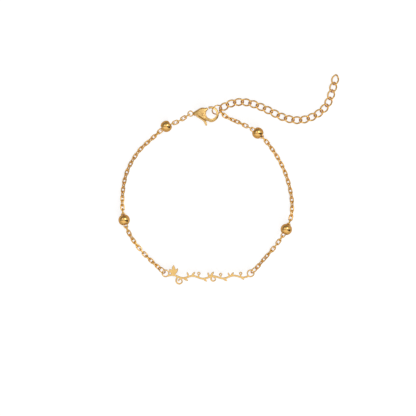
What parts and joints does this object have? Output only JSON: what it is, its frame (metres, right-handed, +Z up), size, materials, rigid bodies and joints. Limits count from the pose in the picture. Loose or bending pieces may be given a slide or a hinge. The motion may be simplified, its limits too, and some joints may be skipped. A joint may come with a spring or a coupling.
{
  "type": "nameplate bracelet",
  "caption": "Gold-coloured chain bracelet lying flat, with a cut vine plate, polished beads, a sprung hook clasp and a free extender chain.",
  "frame": {"origin": "centre of the bracelet's box on the table that it lies on", "axes": "+Z up from the table, +X along the plate towards its right end, +Y from the plate towards the clasp"},
  "size_m": [0.0729, 0.0695, 0.0037],
  "materials": {
    "plate_gold": "polished",
    "bead_gold": "mirror",
    "clasp_gold": "polished",
    "chain_gold": "polished"
  },
  "bodies": {
    "bracelet": {"nameplate": "plate_gold", "jump_ring_left": "chain_gold", "jump_ring_right": "chain_gold", "end_ring": "chain_gold", "clasp_body": "clasp_gold", "clasp_pin": "clasp_gold", "bead_1": "bead_gold", "bead_2": "bead_gold", "bead_3": "bead_gold", "bead_4": "bead_gold", "chain_left": "chain_gold", "chain_right": "chain_gold", "extender_chain": "chain_gold"},
    "lever": {"clasp_lever": "clasp_gold"}
  },
  "joints": [
    {"name": "clasp_lever", "type": "hinge", "parent": "bracelet", "child": "lever", "pos_m": [-0.00877, 0.02131, 0.00181], "axis": [0, 0, -1], "range_deg": [0, 25], "stiffness_Nm_per_rad": 0.005, "springref_deg": -5.73}
  ]
}
